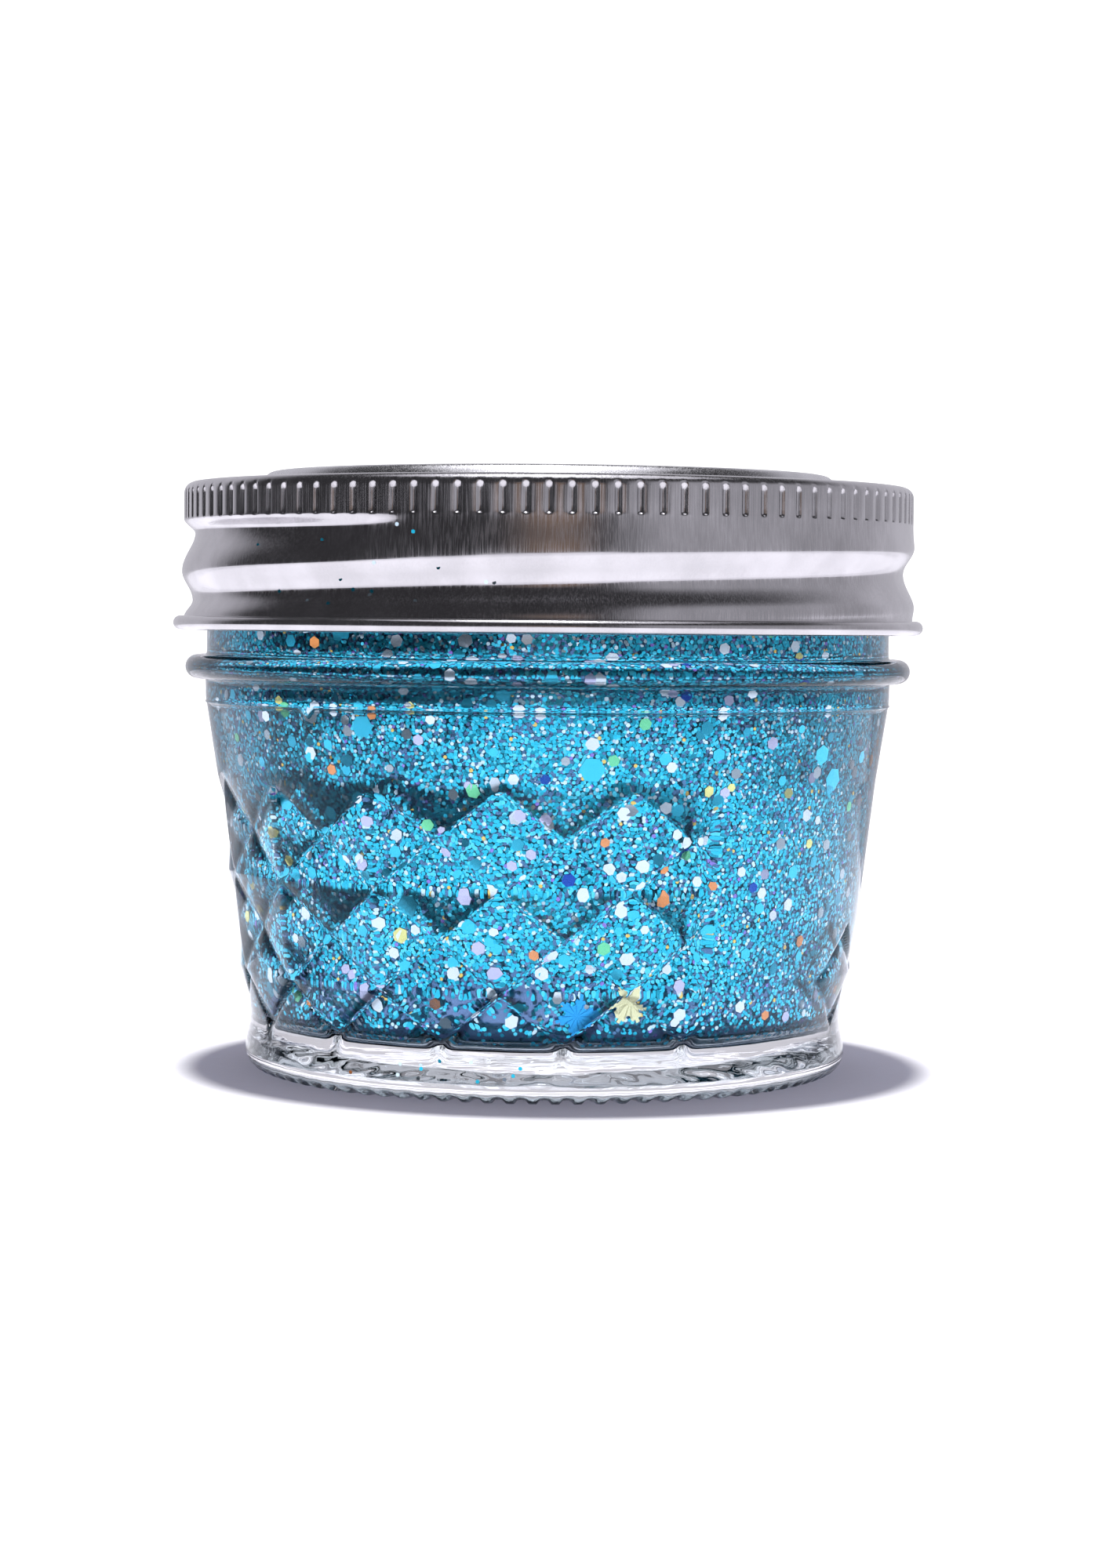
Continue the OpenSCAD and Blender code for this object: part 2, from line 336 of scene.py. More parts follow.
disc_top = bent([[34.05, RIM_Z], [28.7, RIM_Z], [27.8, PANEL_Z - 0.35], [27.3, PANEL_Z], [24.5, PANEL_Z],
                 [23.9, PANEL_Z - 0.4], [13.2, PANEL_Z - 0.4], [12.6, PANEL_Z - 0.15], [7, PANEL_Z - 0.07],
                 [0.4, PANEL_Z - 0.05]], 0.4)
disc_under = bent([[0.4, PANEL_Z - 0.3], [12.7, PANEL_Z - 0.4], [13.3, PANEL_Z - 0.65],
                   [24.1, PANEL_Z - 0.65], [24.7, PANEL_Z - 0.25], [27.1, PANEL_Z - 0.25],
                   [27.5, PANEL_Z - 0.5], [28.45, RIM_Z - DISC_SHEET], [34.05, RIM_Z - DISC_SHEET]], 0.3)
disc_edge = arc(34.0, RIM_Z - DISC_SHEET / 2, DISC_SHEET / 2 - 0.01, -80, 80, 5)
disc_section = np.vstack([disc_under, disc_edge, disc_top])
round_a = np.arange(256) * 360 / 256
disc = ring_grid("lid_disc_pressed", *fixed(disc_section, 256), round_a, (PANEL_Z - 0.3, PANEL_Z - 0.05))
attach(disc, "disc")
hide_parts("lid_disc")
disc.data.materials.append(tinplate("disc_satin_tin", (0.74, 0.74, 0.76), 0.16, (1, 0.02, 1), 0.000006))

ring_low = glass_top + 0.05
ring_top = RIM_Z - DISC_SHEET
seal_section = bent([[31.6, ring_low], [33.3, ring_low], [33.4, ring_top - 0.05], [33.0, ring_top],
                     [30.2, ring_top], [29.8, ring_top - 0.3], [30.0, ring_low], [31.5, ring_low]], 0.25)
seal = ring_grid("sealing_compound_ring", *fixed(seal_section, 256), round_a)
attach(seal, "disc")
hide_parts("sealing_ring")
rubber = Finish("sealing_rubber")
grain = rubber.noise(1500, 4.0)
seal.data.materials.append(rubber.done(rubber.body(
    Base_Color=rubber.mix(grain, (0.05, 0.045, 0.045), (0.11, 0.1, 0.1)), Roughness=0.6 + 0.25 * grain,
    Normal=rubber.bump(grain, 0.3, 0.00005))))
print("disc", len(disc.data.polygons), "faces, seal", len(seal.data.polygons), "faces")

# %% [markdown]
# The glass was pressed in a mould, so its outside carries the pattern and its inside is smooth. The quilt
# is a lattice of diamonds. With u counting columns and v counting rows, its lines are where u + v or u - v
# is a whole number, so rounding those two sums down says which diamond a point lies in. Each diamond is a
# low roof of two flat facets, its ridge level in one row and upright in the next, which is why one row
# shows dark wedges and the next bright bars. Its edges round over, as hot glass never fills a corner.

# %% Quilt pattern
QUILT_Z0, QUILT_H, QUILT_ROWS, QUILT_TURN, COLUMNS = 5.6, 4.65, 5, -86.6, 16
QUILT_Z1 = QUILT_Z0 + QUILT_ROWS * QUILT_H
QUILT_DEPTH, ROOF = 1.0, 0.76
BASE_R, QUILT_R1, SHOULDER_R, SHOULDER_Z = 29.6, 32.4, 33.6, 36.5


def outer_wall(z):
    """Radius of the wall through the tops of the pillows, straight from base to quilt top to shoulder."""
    return np.interp(z, [QUILT_Z0, QUILT_Z1, SHOULDER_Z], [BASE_R, QUILT_R1, SHOULDER_R])


def pillow(a, z):
    """Height of the wall in the quilt, 1 on the ridges. Each diamond is a roof: odd rows have a level
    ridge, 1 - |dv|, and even rows an upright one, 1 - |du|. The rest, 1 - (1 - s)^6 with
    s = 1 - |du| - |dv|, rounds every diamond over along its edges. du and dv run from -1 to 1 across a
    diamond. Under the zigzag of the lowest points the wall is plain, halfway down."""
    u = (a - QUILT_TURN) * COLUMNS / 360
    v = (z - QUILT_Z0) / (2 * QUILT_H)
    p, q = np.floor(u + v), np.floor(u - v)
    du, dv = np.abs(2 * u - (p + q + 1)), np.abs(2 * v - (p - q))
    roof = np.where((p - q) % 2 == 1, 1 - dv, 1 - du)
    s = np.clip(1 - du - dv, 0, 1)
    below = 6 * (np.abs(u - np.round(u)) - v)
    plain = 0.5 * (1 - (1 - np.clip(below, 0, 1)) ** 3)
    return np.where(below > 0, plain, ROOF * roof + (1 - ROOF) * (1 - (1 - s) ** 6))


def plain_panel(a, z):
    """1 on the smooth panel at the right of the front, where makers press a name and this jar has none.
    Its left edge is upright, and one diamond of the lowest row comes back at its lower right."""
    from_front = (a + 90 + 180) % 360 - 180
    inside = smooth_step(from_front, 26.6, 29.4) * (1 - smooth_step(from_front, 97, 100))
    u = (a - QUILT_TURN) * COLUMNS / 360
    v = (z - QUILT_Z0) / (2 * QUILT_H)
    in_row = np.abs(u - 3) + np.abs(v - 0.5)
    next_row = np.abs(u - 4) + np.abs(v - 0.5)
    back = 1 - smooth_step(np.minimum(in_row, next_row), 0.47, 0.53)
    return inside * (1 - back)


def quilt_inset(a, z):
    """How far the wall lies inside its envelope: the depth times what is missing from a full diamond,
    and nothing above the top line or on most of the panel. It fades out into the heel."""
    panel = plain_panel(a, z)
    missing = (1 - pillow(a, z)) * (1 - panel) + 0.5 * panel * (1 - smooth_step(z, 7, 16))
    bounds = smooth_step(z, 2.2, 5.0) * (1 - smooth_step(z, QUILT_Z1 - 0.1, QUILT_Z1 + 0.3))
    return QUILT_DEPTH * missing * bounds


print("diamonds", COLUMNS, "round,", QUILT_ROWS, "rows, depth", QUILT_DEPTH, "mm")

# %% [markdown]
# The rest of the glass is a turned section: a hollowed base on a ring of small scallops, a round heel, the
# quilted wall, a fine parting line where the mould's ring met its body, the bead that hands and machines
# grip, the neck with its thread, and the rim. The inside runs back down to the floor, so the whole is one
# closed skin. A light ray meets real glass twice, on the way in and on the way out, as it should.

# %% Glass surface
CAVITY_R0, MOUTH_R, FLOOR_Z, CAVITY_ROUND = 26.6, 30.0, 4.4, 2.2
NECK_R, THREAD_R, BEAD_R, BEAD_Z, BEAD_T = 33.5, 34.65, 35.6, 39.4, 1.15
SCALLOPS, PARTING_Z = 84, 36.0
glass_a = np.arange(512) * 360 / 512 - 180


def cavity_radius(z):
    """Radius of the inside: a slightly opening cone from floor to shoulder, rounded at the floor."""
    cone = np.minimum(MOUTH_R, CAVITY_R0 + (MOUTH_R - CAVITY_R0) * (z - FLOOR_Z) / (SHOULDER_Z - FLOOR_Z))
    start = FLOOR_Z + CAVITY_ROUND
    below = np.clip(start - z, 0, CAVITY_ROUND)
    return cone - CAVITY_ROUND + np.sqrt(CAVITY_ROUND ** 2 - below ** 2)


def thread_rise(a, z):
    """How far the thread ridge stands out of the neck: a helix one pitch a turn, with sloping sides."""
    rise = np.zeros(np.broadcast(a, z).shape)
    for turn in (0, -1, -2):
        along = a + 360 * turn
        middle = GROOVE_Z + 1.5 + PITCH * (along - GROOVE_FULL) / 360
        fade = smooth_step(np.minimum(along + 600, -200 - along), 0, 30)
        rise = np.maximum(rise, fade * (1 - smooth_step(np.abs(z - middle), 0.45, 1.45)))
    return rise * (THREAD_R - NECK_R)


quilt_z = QUILT_Z0 + np.arange(QUILT_ROWS * 16 + 1) * QUILT_H / 16
thread_z = np.linspace(43.4, 54.4, 17)
underside = np.array([[8, 1.2], [15, 1.1], [18, 1.35], [21, 1.0], [23.6, 1.1], [24.6, 0.6], [25.2, 0.2],
                      [25.7, 0.02]])
foot = np.array([[26.3, 0], [27.0, 0]])
heel = arc(BASE_R - 2, 2, 2, -90, 0, 10)
lower = np.array([[BASE_R, 3.2], [BASE_R, 4.6], [BASE_R, 5.25]])
upper_z = np.array([29.05, 29.3, 30.2, 32.0, 34.0, 35.5, 35.8, 35.9, 36.0, 36.1, 36.2])
upper = np.stack([outer_wall(upper_z), upper_z], axis=-1)
shoulder = np.array([[33.6, 36.6], [33.6, 37.4], [33.62, 38.0], [33.74, 38.3], [34.0, 38.36]])
bead = arc(BEAD_R - BEAD_T, BEAD_Z, BEAD_T, -88, 118, 15)
neck = np.array([[33.66, 40.5], [33.53, 40.75], [NECK_R, 41.2], [NECK_R, 42.3]])
lip = np.vstack([[[33.1, 54.6]], arc(32.3, 55.0, 0.6, 0, 90, 5), arc(30.6, 55.0, 0.6, 90, 180, 5)])
inside_z = np.concatenate([[50, 44, 38.5, SHOULDER_Z], np.linspace(33, FLOOR_Z + CAVITY_ROUND, 5),
                           FLOOR_Z + CAVITY_ROUND * (1 - np.sin(np.radians([15, 32, 50, 68, 80])))])
inside = np.stack([cavity_radius(inside_z), inside_z], axis=-1)
floor_in = np.array([[24.0, FLOOR_Z + 0.004], [20, FLOOR_Z], [12, FLOOR_Z]])

section = np.vstack([underside, foot, heel, lower, np.stack([outer_wall(quilt_z), quilt_z], axis=-1), upper,
                     shoulder, bead, neck, np.stack([np.full(17, NECK_R), thread_z], axis=-1), lip, inside,
                     floor_in])
first_inside = len(section) - len(inside) - len(floor_in)
outside = (np.arange(len(section)) < first_inside)[:, None]
glass_r, glass_z = fixed(section, len(glass_a))
turn_a = glass_a[None, :]

quilted = outside & (glass_z > 2.2) & (glass_z < QUILT_Z1 + 0.5)
glass_r = glass_r - np.where(quilted, quilt_inset(turn_a, glass_z), 0)
threaded = outside & (glass_z > 43) & (glass_z < 54.5)
glass_r = glass_r + np.where(threaded, thread_rise(turn_a, glass_z), 0)
parting = outside * 0.14 * np.exp(-((glass_z - PARTING_Z) / 0.11) ** 2)
cusp = -0.9 * np.clip(1 - np.abs((turn_a + 90 + 41 + 180) % 360 - 180) / 1.6, 0, 1)
near_parting = outside & (np.abs(glass_z - PARTING_Z) < 0.6)
glass_r = glass_r + parting
glass_z = glass_z + np.where(near_parting, cusp, 0)
on_foot = outside * smooth_step(glass_r, 25.2, 26.6) * (1 - smooth_step(glass_z, 0.1, 0.9))
scallop = smooth_step(np.cos(np.radians(turn_a * SCALLOPS)), -0.5, 0.6)
glass_z = glass_z + 0.4 * on_foot * scallop

glass = ring_grid("quilted_glass", glass_r, glass_z, glass_a, (1.2, FLOOR_Z))
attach(glass, "jar")
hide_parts("glass_jar")
print("glass", len(glass.data.polygons), "faces")

# %% [markdown]
# Glass and gel bend light, and a lamp seen only through bent light gives a noisy picture. So rays that look
# for shadows, and soft bounced rays, pass straight through, while rays that make the picture bend as they
# do in the real thing. The factor is a switch on the kind of ray and says nothing about where the eye is.

# %% Glass and gel finishes
def clear(name, colour, ior, wobble, shine):
    """A see-through body with a slightly uneven skin. The shine tints what its face reflects head-on."""
    finish = Finish(name)
    kind = finish.add("ShaderNodeLightPath", output=1).larger(finish.add("ShaderNodeLightPath", output=2))
    unevenness = finish.noise(160, 2.0)
    surface = finish.body(Base_Color=colour, Roughness=0.0, IOR=ior, Transmission_Weight=1.0,
                          Specular_Tint=shine, Normal=finish.bump(unevenness, 1.0, wobble))
    passing = finish.add("ShaderNodeBsdfTransparent", None, {"Color": tuple(c ** 0.5 for c in colour)})
    return finish.done(finish.add("ShaderNodeMixShader", None, {0: kind, 1: surface, 2: passing}))


glass.data.materials.append(clear("pressed_glass", (0.97, 0.985, 1.0), 1.5, 0.00012, (0.08, 0.32, 0.5)))
print("glass finish ready")

# %% [markdown]
# The gel fills the glass to just under the thread. Its skin lies a hair inside the glass's inner face, so a
# ray passes from glass to gel with no film of air between them, which would shine like silver. The gel
# itself is full of fine pearl pigment that settles flat against the wall, so behind the flakes it acts as a
# soft slate-blue mirror. An opaque core a millimetre in stands for it.

# %% Gel and its cloudy core
FILL_Z, OVERLAP, CORE_DEPTH = 49.5, 0.02, 1.0


def filling(name, gap, top):
    """The cavity's shape, moved in by gap and cut off level at top."""
    low = FLOOR_Z + gap
    bend = low + CAVITY_ROUND
    z = np.concatenate([low + CAVITY_ROUND * (1 - np.sin(np.radians([80, 68, 50, 32, 15]))),
                        np.linspace(bend, SHOULDER_Z, 6), [SHOULDER_Z + 4, top - 0.4, top - 0.1]])
    r = cavity_radius(np.clip(z - gap, FLOOR_Z + 0.001, 60)) - gap
    points = np.vstack([[[12, low], [20, low]], np.stack([r, z], axis=-1), [[r[-1] - 0.3, top], [15, top]]])
    return ring_grid(name, *fixed(points, 256), round_a, (low, top))


gel = filling("gel_skin", -OVERLAP, FILL_Z)
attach(gel, "jar")
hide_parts("glitter_gel")
gel.data.materials.append(clear("blue_gel", (0.84, 0.95, 1.0), 1.38, 0.00002, (0.1, 0.5, 0.8)))

core = filling("gel_cloud", CORE_DEPTH, FILL_Z - 0.6)
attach(core, "jar")
cloud = Finish("cloudy_gel")
drift = cloud.noise(120, 3.0)
core.data.materials.append(cloud.done(cloud.body(
    Base_Color=cloud.mix(drift.step(0.3, 0.7), (0.12, 0.17, 0.33), (0.18, 0.25, 0.45)), Metallic=1.0,
    Roughness=0.17)))
print("gel", len(gel.data.polygons), "faces, core", len(core.data.polygons), "faces")

# %% [markdown]
# Glitter is thin film cut into hexagons, and most of it lies flat against the glass where the gel pressed
# it. Ten thousands of flakes are too many for separate objects, and a particle system doesn't survive an
# export. So every flake is one six-sided face of a shared mesh, its corners worked out as whole arrays, and
# its colour is one of a few material slots.

# %% Flakes
draw = np.random.default_rng(7)


def hexagons(name, a, z, depth, size, lean, thick=0.0):
    """Hexagons at angle a, height z and the given depth inside the cavity wall. Each lies square to the
    wall, leans by two random angles, and is turned in its own plane. Corner k is at
    centre + size (cos(60 k + spin) e1 + sin(60 k + spin) e2)."""
    count = len(a)
    turn = np.radians(a)
    nothing = np.zeros(count)
    out = np.stack([np.cos(turn), np.sin(turn), nothing], axis=-1)
    round_way = np.stack([-np.sin(turn), np.cos(turn), nothing], axis=-1)
    up = np.stack([nothing, nothing, nothing + 1], axis=-1)
    tip = np.tan(np.radians(draw.normal(0, 1, (count, 2)) * lean))
    slope = (cavity_radius(z + 0.3) - cavity_radius(z - 0.3))[:, None] / 0.6
    face = out + tip[:, :1] * round_way + (tip[:, 1:] - slope) * up
    face /= np.linalg.norm(face, axis=1, keepdims=True)
    e1 = round_way - face * np.sum(round_way * face, axis=1, keepdims=True)
    e1 /= np.linalg.norm(e1, axis=1, keepdims=True)
    e2 = np.cross(face, e1)
    centre = out * (cavity_radius(z) - depth)[:, None] + up * z[:, None]
    spin = np.radians(draw.uniform(0, 60, count))[:, None] + np.radians(60) * np.arange(6)
    ring = np.cos(spin)[..., None] * e1[:, None] + np.sin(spin)[..., None] * e2[:, None]
    front = centre[:, None] + ring * size[:, None, None]
    index = np.arange(count * 6).reshape(count, 6)
    if not thick:
        return put_mesh(name, front.reshape(-1, 3), [index], smooth=False)
    back = front - face[:, None] * thick
    after = np.roll(index, -1, axis=1)
    sides = np.stack([index, index + count * 6, after + count * 6, after], axis=-1).reshape(-1, 4)
    return put_mesh(name, np.vstack([front.reshape(-1, 3), back.reshape(-1, 3)]),
                    [index, index[:, ::-1] + count * 6, sides], smooth=False)


def colour_flakes(piece, count, finishes, weights):
    """Gives each flake one of the finishes, at random with the given weights."""
    for finish in finishes:
        piece.data.materials.append(finish)
    pick = draw.choice(len(finishes), count, p=np.array(weights) / sum(weights)).astype(np.int32)
    faces = len(piece.data.polygons)
    slots = np.concatenate([pick, pick, np.repeat(pick, 6)]) if faces > count else pick
    piece.data.polygons.foreach_set("material_index", slots[:faces])
    return pick


def foil(name, colour, metal=0.95, rough=0.12, film=0.0):
    """Metallised film: a coloured mirror under a clear skin, with thin-film colours where film is set."""
    finish = Finish(name)
    extra = {"Thin_Film_Thickness": film, "Thin_Film_IOR": 1.5} if film else {}
    return finish.done(finish.body(Base_Color=colour, Metallic=metal, Roughness=rough, **extra))


print("flake helpers ready")

# %% [markdown]
# The fine glitter is a mosaic: flakes of about a third of a millimetre, almost touching, pressed to the
# glass, with a looser layer behind. A plain random scatter would leave bald spots and clumps, so the places
# are a staggered lattice with each point moved a little. The flakes are mirrors, and the slightest lean
# changes what they reflect, which is where the sparkle comes from.

# %% Fine glitter
cyan_foil = foil("cyan_film", (0.03, 0.52, 0.72))
sky_foil = foil("sky_film", (0.10, 0.66, 0.86))
teal_foil = foil("teal_film", (0.015, 0.30, 0.42))
slate_foil = foil("slate_film", (0.09, 0.17, 0.33))
pale_foil = foil("pale_film", (0.62, 0.78, 0.86))
gold_foil = foil("gold_film", (0.80, 0.55, 0.12))
violet_foil = foil("violet_film", (0.28, 0.18, 0.62))
fine_set = [cyan_foil, sky_foil, teal_foil, slate_foil, pale_foil, gold_foil, violet_foil]


def wall_mosaic(step_a, step_z, share):
    """Places on a staggered lattice over the inner wall, each moved a little, thinned to a density that
    falls towards the floor and wanders in patches."""
    rows = np.arange(5.4, FILL_Z - 0.4, step_z)
    columns = np.arange(0, 360, step_a)
    a = columns[None, :] + (np.arange(len(rows)) % 2)[:, None] * step_a / 2 - 180
    a = (a + draw.uniform(-0.38, 0.38, a.shape) * step_a).ravel()
    z = (rows[:, None] + draw.uniform(-0.38, 0.38, (len(rows), len(columns))) * step_z).ravel()
    patches = 0.12 * np.sin(np.radians(3 * a + 40) + z * 0.35) + 0.1 * np.sin(np.radians(7 * a) - z * 0.21)
    density = 0.35 + 0.62 * smooth_step(z, 7, 15) + patches
    keep = draw.uniform(0, 1, len(a)) < density * share
    return a[keep], z[keep]


layers = [("against_glass", (0.14, 0.24), 1.1, 1.0), ("behind", (0.3, 0.9), 2.5, 0.6)]
for layer, depth, lean, share in layers:
    a, z = wall_mosaic(0.68, 0.305, share)
    for side, half in (("front", a < 0), ("back", a >= 0)):
        count = int(half.sum())
        piece = hexagons(f"fine_glitter_{layer}_{side}", a[half], z[half], draw.uniform(*depth, count),
                         draw.normal(0.19, 0.016, count), lean)
        colour_flakes(piece, count, fine_set, [42, 20, 12, 15, 9, 0.8, 1.2])
        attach(piece, "jar")
        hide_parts("fine_glitter")
        print(piece.name, count, "flakes")

# %% [markdown]
# Bigger flakes are scattered through the fine ones: hexagons about a millimetre across and a few of two
# millimetres. They have a real thickness. The pearly ones carry a thin film, whose colour shifts with the
# light, and the rest are foils of one colour.

# %% Medium and large flakes
pearl_film = foil("pearl_film", (0.80, 0.86, 0.92), 0.85, 0.16, 420)
orange_film = foil("orange_film", (0.85, 0.32, 0.10), 0.85, 0.16)
green_film = foil("green_film", (0.20, 0.72, 0.36), 0.85, 0.16)
lemon_film = foil("lemon_film", (0.86, 0.80, 0.28), 0.85, 0.16)
lilac_film = foil("lilac_film", (0.60, 0.57, 0.78), 0.85, 0.16)
deep_film = foil("deep_blue_film", (0.02, 0.06, 0.42), 0.85, 0.16)
bright_film = foil("bright_cyan_film", (0.06, 0.62, 0.86), 0.85, 0.16)
medium_set = [pearl_film, bright_film, orange_film, green_film, lemon_film, lilac_film, deep_film]
MEDIUM, LARGE = 800, 12
a, z = draw.uniform(-180, 180, MEDIUM), draw.uniform(7, FILL_Z - 1, MEDIUM)
medium = hexagons("medium_hexagons", a, z, draw.uniform(0.05, 0.14, MEDIUM),
                  draw.normal(0.55, 0.08, MEDIUM), 3, 0.05)
colour_flakes(medium, MEDIUM, medium_set, [42, 34, 5, 5, 4, 8, 4])
a, z = draw.uniform(-180, 180, LARGE - 1), draw.uniform(12, 40, LARGE - 1)
a, z = np.append(a, -123.0), np.append(z, 34.6)
large = hexagons("large_hexagons", a, z, draw.uniform(0.05, 0.1, LARGE), draw.normal(1.1, 0.06, LARGE),
                 4, 0.07)
colour_flakes(large, LARGE, [bright_film], [1])
for piece, node, slot in ((medium, "medium_flakes", "pearl_foil"), (large, "large_flakes", "blue_foil")):
    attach(piece, "jar")
    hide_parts(node)
print("medium", MEDIUM, "large", LARGE)

# %% [markdown]
# Filling a jar with glitter leaves a few flakes stuck to the outside, on the band and on the base. They
# are the same hexagons, laid on another radius.

# %% Stray flakes
def strays(name, a, z, surface_r, body):
    """A few fine flakes stuck to the outside of a piece, at radius surface_r."""
    piece = hexagons(name, a, z, cavity_radius(z) - surface_r - 0.03, np.full(len(a), 0.2), 5)
    colour_flakes(piece, len(a), [cyan_foil, pale_foil, orange_film], [6, 3, 1])
    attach(piece, body)
    print(name, len(a), "flakes")


a, z = draw.normal(-117, 9, 16), draw.uniform(45.5, 53, 16)
strays("stray_flakes_band", a, z, band_radius(a, z), "band")
a, z = draw.normal(-108, 12, 12), draw.uniform(2.2, 4.2, 12)
strays("stray_flakes_base", a, z, np.full(12, BASE_R), "jar")

# %% [markdown]
# The snow stars are punched from the same film. One arm's outline is turned six times, and each star is two
# fans of triangles round its centre with a thin edge between. They lean with the wall, like the flakes.

# %% Snow stars
STAR_PLACES = [(-74, 9.2), (-84, 8.4), (30, 22), (105, 12), (160, 30)]


def snow_star(radius):
    """Outline of a six-armed star in its own plane, 11 points an arm: each has a barbed, blunt tip."""
    arm = np.array([[0.52, -30], [0.66, -12], [0.74, -20], [0.86, -13], [0.80, -5], [1.0, -5], [1.0, 5],
                    [0.80, 5], [0.86, 13], [0.74, 20], [0.66, 12]])
    turn = np.radians(arm[None, :, 1] + 60 * np.arange(6)[:, None])
    x, y = arm[None, :, 0] * np.cos(turn), arm[None, :, 0] * np.sin(turn)
    return radius * np.stack([x, y], axis=-1).reshape(-1, 2)


flat = snow_star(1.9)
points, faces, n = [], [], len(flat)
for k, (star_a, star_z) in enumerate(STAR_PLACES):
    turn, spin = np.radians(star_a), np.radians(17 * k)
    out = np.array([np.cos(turn), np.sin(turn), -0.12])
    out /= np.linalg.norm(out)
    side = np.array([-np.sin(turn), np.cos(turn), 0])
    rise = np.cross(out, side)
    x = flat[:, 0] * np.cos(spin) - flat[:, 1] * np.sin(spin)
    y = flat[:, 0] * np.sin(spin) + flat[:, 1] * np.cos(spin)
    centre = np.array([np.cos(turn), np.sin(turn), 0]) * (cavity_radius(star_z) - 0.09) + [0, 0, star_z]
    front = centre + x[:, None] * side + y[:, None] * rise
    hub = len(points)
    points.extend([*front, centre, *(front - 0.05 * out), centre - 0.05 * out])
    ring = np.arange(n)
    after = (ring + 1) % n
    faces.append(np.stack([np.full(n, n), ring, after], axis=-1) + hub)
    faces.append(np.stack([np.full(n, n), after, ring], axis=-1) + hub + n + 1)
    faces.append(np.stack([ring, ring + n + 1, after], axis=-1) + hub)
    faces.append(np.stack([after, ring + n + 1, after + n + 1], axis=-1) + hub)
stars = put_mesh("snow_stars", np.array(points), faces, smooth=False)
stars.data.materials.append(foil("star_film", (0.95, 0.88, 0.50), 0.8, 0.2))
stars.data.materials.append(foil("blue_star_film", (0.03, 0.42, 0.95), 0.8, 0.2))
per_star = len(stars.data.polygons) // len(STAR_PLACES)
stars.data.polygons.foreach_set("material_index", np.repeat([0, 1, 0, 0, 1], per_star).astype(np.int32))
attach(stars, "jar")
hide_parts("star_flakes")
print("stars", len(STAR_PLACES))

# %% [markdown]
# The stage is a white table, which stays plain. It is round and no wider than it needs to be, because the
# metal and the flakes show its edge as the line where their reflection turns from light to dark.

# %% Table
TABLE_R = 200
table_a = np.arange(64) * 360 / 64
turn = np.radians(table_a)
rim = np.stack([TABLE_R * np.cos(turn), TABLE_R * np.sin(turn), 0 * turn], axis=-1)
table = put_mesh("table_top", np.vstack([rim, [[0, 0, 0]]]),
                 [np.stack([np.arange(64), (np.arange(64) + 1) % 64, np.full(64, 64)], axis=-1)])
paper = Finish("white_paper")
tooth = paper.noise(900, 3.0)
table.data.materials.append(paper.done(paper.body(
    Base_Color=paper.mix(tooth, (0.86, 0.85, 0.87), (0.9, 0.89, 0.91)), Roughness=0.9,
    Specular_IOR_Level=0.0)))
print("table ready")

# %% [markdown]
# One lamp hangs almost straight overhead and throws the lid's round shadow. The room is worked out from the
# direction looked in: bright behind the jar, dim in front with a warm patch, lighter at the right, white
# overhead and pale below the table's edge. That is all the polished metal and the foils have to show. Soft
# bounced light gets a little more of it, and a lilac tone, which fills the shadow.

# %% Lamp and room
lamp = bpy.data.objects.new("overhead_lamp", bpy.data.lights.new("overhead_lamp", "SUN"))
lamp.data.energy = 3.7
lamp.data.angle = np.radians(5)
lamp.rotation_euler = (0, np.radians(-1.2), 0)
bpy.context.scene.collection.objects.link(lamp)

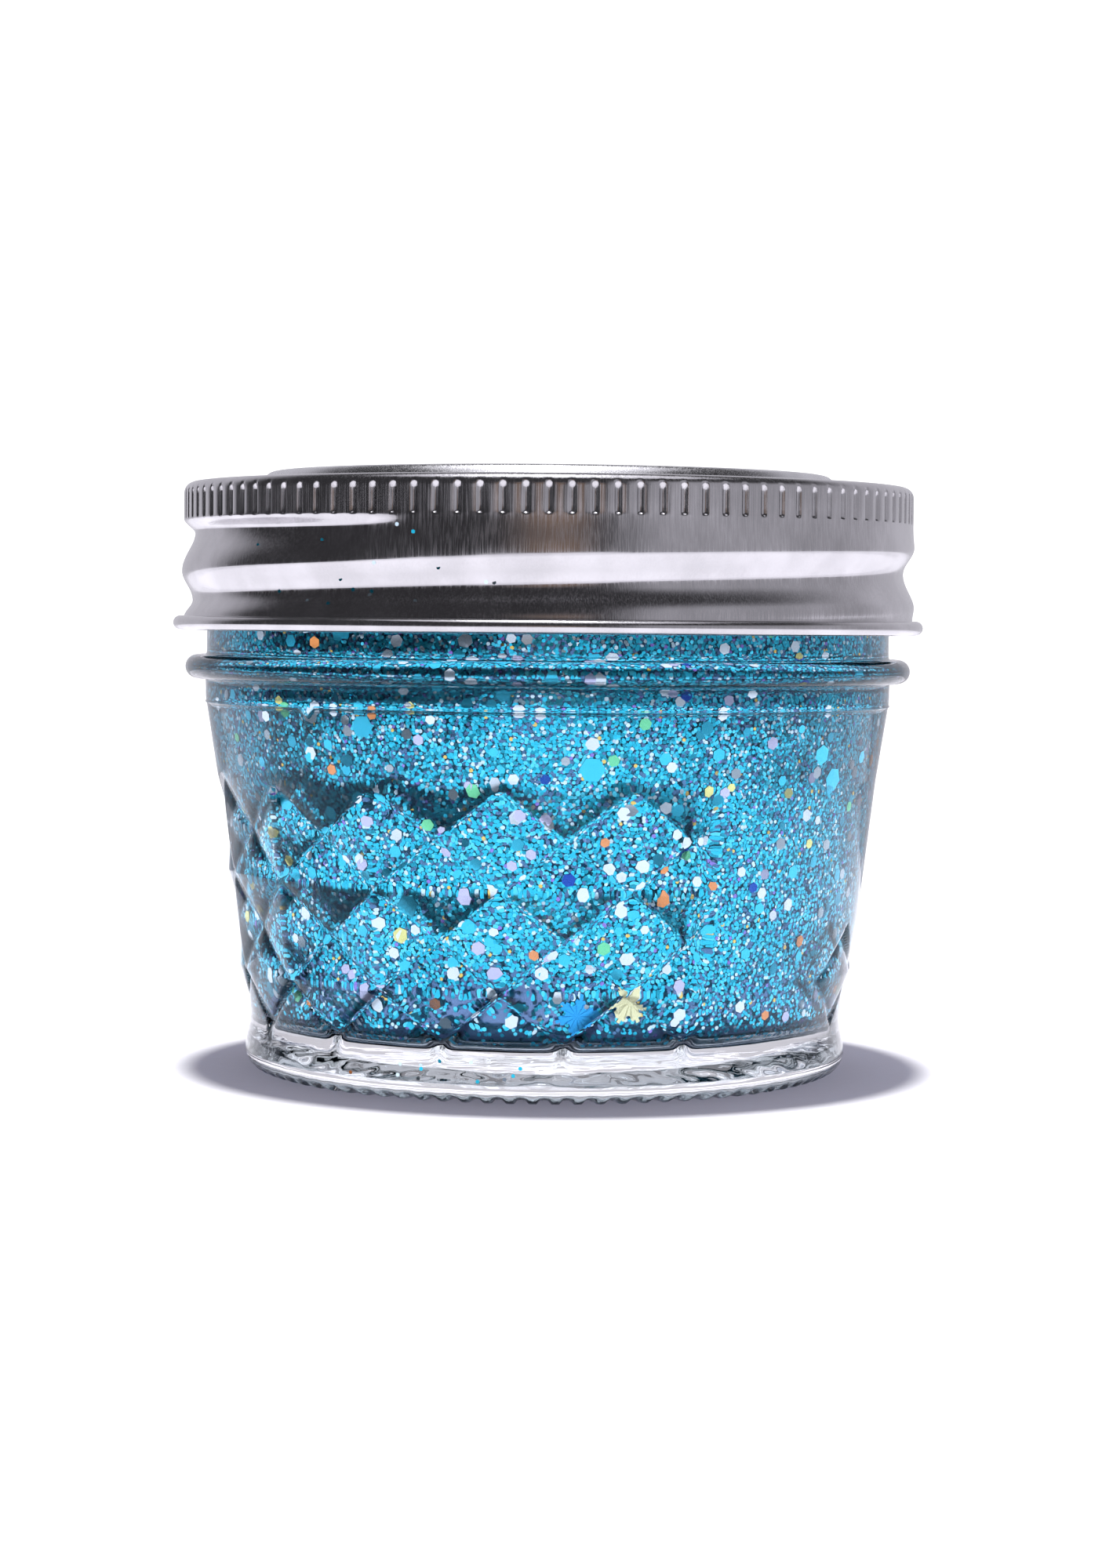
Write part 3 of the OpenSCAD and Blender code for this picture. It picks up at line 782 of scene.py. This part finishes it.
world = bpy.data.worlds.new("studio")
world.use_nodes = True
bpy.context.scene.world = world
room = Finish("studio", world.node_tree)
way = room.add("ShaderNodeTexCoord", output=0)
axes = room.add("ShaderNodeSeparateXYZ", None, {0: way})
right, ahead, rise = (Wire(room, axes.socket.node.outputs[k]) for k in range(3))
behind = ahead.step(0.3, 0.7) * (1 - rise.step(0.5, 0.8))
to_right = right.step(0.2, 0.6) * (1 - rise.step(0.4, 0.75))
overhead = rise.step(0.86, 0.93)
low = 1 - rise.step(0.12, 0.4)
middle = (1 - right.step(0.3, 0.45)) * right.step(-0.45, -0.3) * (1 - behind)
floor_far = (1 - rise.step(-0.13, -0.1)).larger(middle * (1 - rise.step(-0.05, -0.02)))
grey = (0.05 + 0.62 * behind + 0.42 * to_right * (1 - behind) + 0.9 * overhead).larger(1.3 * floor_far)
warm = (1 - right.step(0.12, 0.3)) * right.step(-0.3, -0.02) * low * (1 - behind) * rise.step(-0.02, 0)
seen = room.add("ShaderNodeLightPath", output=0)
tone = room.mix(warm, (0.95, 0.93, 1.02), (1.0, 0.7, 0.55))
soft = room.add("ShaderNodeLightPath", output=2)
tone = room.mix(soft, tone, (0.93, 0.9, 1.1))
light = room.add("ShaderNodeBackground", None, {"Color": tone, "Strength": grey + 0.22 * warm + 0.2 * soft})
white = room.add("ShaderNodeBackground", None, {"Color": (1, 1, 1), "Strength": 1.3})
both = room.add("ShaderNodeMixShader", None, {0: seen, 1: light, 2: white})
room.add("ShaderNodeOutputWorld", None, {"Surface": both})
bpy.context.scene.view_settings.view_transform = "Standard"
print("lamp and room ready")

# %% [markdown]
# The camera stands 340 mm away at the height of the neck and looks slightly down, so the panel of the lid is
# a thin line and the base shows its curve. It leans by half a degree, as a hand-set camera does.

# %% Camera
eye = bpy.data.cameras.new("eye")
eye.lens, eye.sensor_width = 78.95, 36
eye.clip_start, eye.clip_end = 0.01, 20
camera = bpy.data.objects.new("eye", eye)
camera.location = (0, -0.340, 0.045)
camera.rotation_mode = "XYZ"
pitch, roll, yaw = np.radians(90 - 2.87), np.radians(0.5), np.radians(-0.072)
camera.rotation_euler = (pitch, 0, yaw)
camera.rotation_euler = (camera.rotation_euler.to_matrix() @ Matrix.Rotation(roll, 3, "Z")).to_euler()
bpy.context.scene.collection.objects.link(camera)
bpy.context.scene.camera = camera
print("camera at", tuple(round(c, 3) for c in camera.location))
